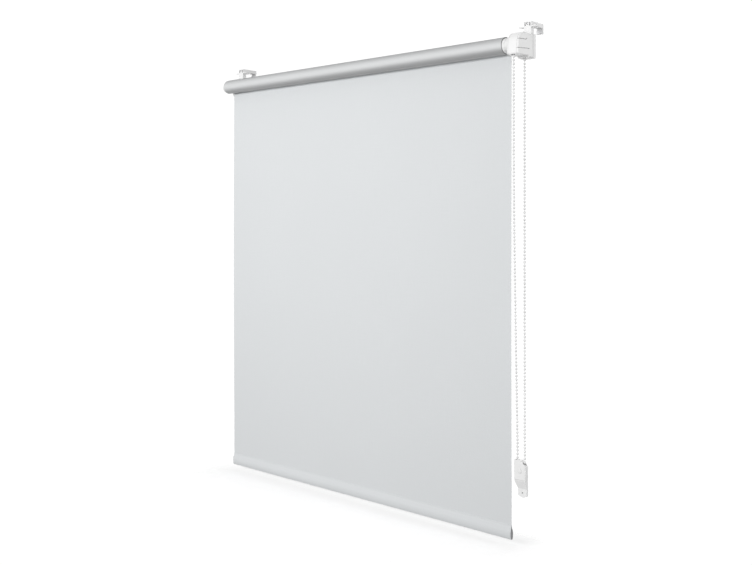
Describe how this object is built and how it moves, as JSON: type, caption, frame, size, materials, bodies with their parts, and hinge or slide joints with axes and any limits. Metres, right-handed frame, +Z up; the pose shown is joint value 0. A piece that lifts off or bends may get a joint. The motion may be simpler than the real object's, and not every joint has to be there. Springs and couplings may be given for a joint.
{
  "type": "clamp-on roller blind",
  "caption": "Roller blind whose hooks clamp over the top of a window sash, with a bead chain that turns the roller, a sprung idle pin, a barred hem and a hanging chain tensioner.",
  "frame": {"origin": "on the top front edge of the sash that the clamps grip, at the middle of the cloth's width", "axes": "+X along the roller towards the bead chain, +Y from the room towards the window, +Z up"},
  "size_m": [0.818, 0.0855, 0.8836],
  "materials": {
    "cloth": "matt woven cloth, pale grey",
    "silver_cloth": "satin silver coating on the cloth's back",
    "white_plastic": "moulded white plastic",
    "grey_plastic": "moulded dark grey plastic",
    "chain": "glossy white beads on a cord",
    "rubber": "soft pale pads",
    "aluminium": "mill finish extrusion",
    "steel": "plated steel"
  },
  "bodies": {
    "frame": {"left_bracket": "white_plastic", "right_bracket": "white_plastic", "left_clamp_body": "white_plastic", "right_clamp_body": "white_plastic", "left_clamp_nut": "steel", "right_clamp_nut": "steel", "left_front_pad": "rubber", "right_front_pad": "rubber", "left_bracket_screw_upper": "steel", "left_bracket_screw_lower": "steel", "right_bracket_screw_upper": "steel", "right_bracket_screw_lower": "steel", "drive_housing": "white_plastic", "drive_cover": "white_plastic", "cover_screw": "steel", "drive_core": "white_plastic", "retaining_screw": "steel", "chain_over_wheel": "chain", "chain_front_strand": "chain", "chain_rear_strand": "chain", "chain_under_pulley": "chain", "tensioner_inner_shell": "white_plastic", "tensioner_outer_shell": "white_plastic", "tensioner_axle": "white_plastic", "hanging_cloth": "cloth"},
    "roller": {"roller_tube": "aluminium", "wound_cloth": "silver_cloth", "drive_plug": "white_plastic", "chain_wheel": "white_plastic", "brake_spring_inner": "steel", "brake_spring_outer": "steel", "idle_plug": "white_plastic"},
    "hem": {"hem_pocket": "cloth", "hem_bar": "aluminium", "hem_end_cap_left": "grey_plastic", "hem_end_cap_right": "grey_plastic"},
    "idle_pin": {"idle_pin": "steel", "idle_spring": "steel"},
    "tensioner_pulley": {"tensioner_pulley": "white_plastic"},
    "left_jaw": {"left_rear_jaw": "white_plastic", "left_jaw_pad": "rubber"},
    "left_screw": {"left_clamp_screw": "steel"},
    "right_jaw": {"right_rear_jaw": "white_plastic", "right_jaw_pad": "rubber"},
    "right_screw": {"right_clamp_screw": "steel"}
  },
  "joints": [
    {"name": "roller_spin", "type": "hinge", "parent": "frame", "child": "roller", "pos_m": [0, -0.0325, -0.032], "axis": [1, 0, 0], "range_deg": [0, 2760]},
    {"name": "hem_slide", "type": "slide", "parent": "frame", "child": "hem", "axis": [0, 0, 1], "range_m": [0, 0.7901], "deforming": ["hanging_cloth"]},
    {"name": "tensioner_pulley_turn", "type": "hinge", "parent": "frame", "child": "tensioner_pulley", "pos_m": [0.4095, -0.0271, -0.7485], "axis": [0, -1, 0], "range_deg": [0, 5665]},
    {"name": "idle_pin_slide", "type": "slide", "parent": "frame", "child": "idle_pin", "axis": [1, 0, 0], "range_m": [0, 0.006], "stiffness_N_per_m": 500, "springref_m": -0.004, "deforming": ["idle_spring"]},
    {"name": "left_jaw_slide", "type": "slide", "parent": "frame", "child": "left_jaw", "axis": [0, 1, 0], "range_m": [-0.013, 0]},
    {"name": "left_screw_turn", "type": "hinge", "parent": "left_jaw", "child": "left_screw", "pos_m": [-0.3695, 0.0298, 0.006], "axis": [0, 1, 0], "range_deg": [-6685.71, 0]},
    {"name": "right_jaw_slide", "type": "slide", "parent": "frame", "child": "right_jaw", "axis": [0, 1, 0], "range_m": [-0.013, 0]},
    {"name": "right_screw_turn", "type": "hinge", "parent": "right_jaw", "child": "right_screw", "pos_m": [0.4095, 0.0298, 0.006], "axis": [0, 1, 0], "range_deg": [-6685.71, 0]}
  ],
  "couplings": [
    {"joint": "hem_slide", "follows": "roller_spin", "m_per_rad": 0.0164},
    {"joint": "tensioner_pulley_turn", "follows": "roller_spin", "ratio": 2.0503},
    {"joint": "left_screw_turn", "follows": "left_jaw_slide", "rad_per_m": 8976},
    {"joint": "right_screw_turn", "follows": "right_jaw_slide", "rad_per_m": 8976}
  ]
}
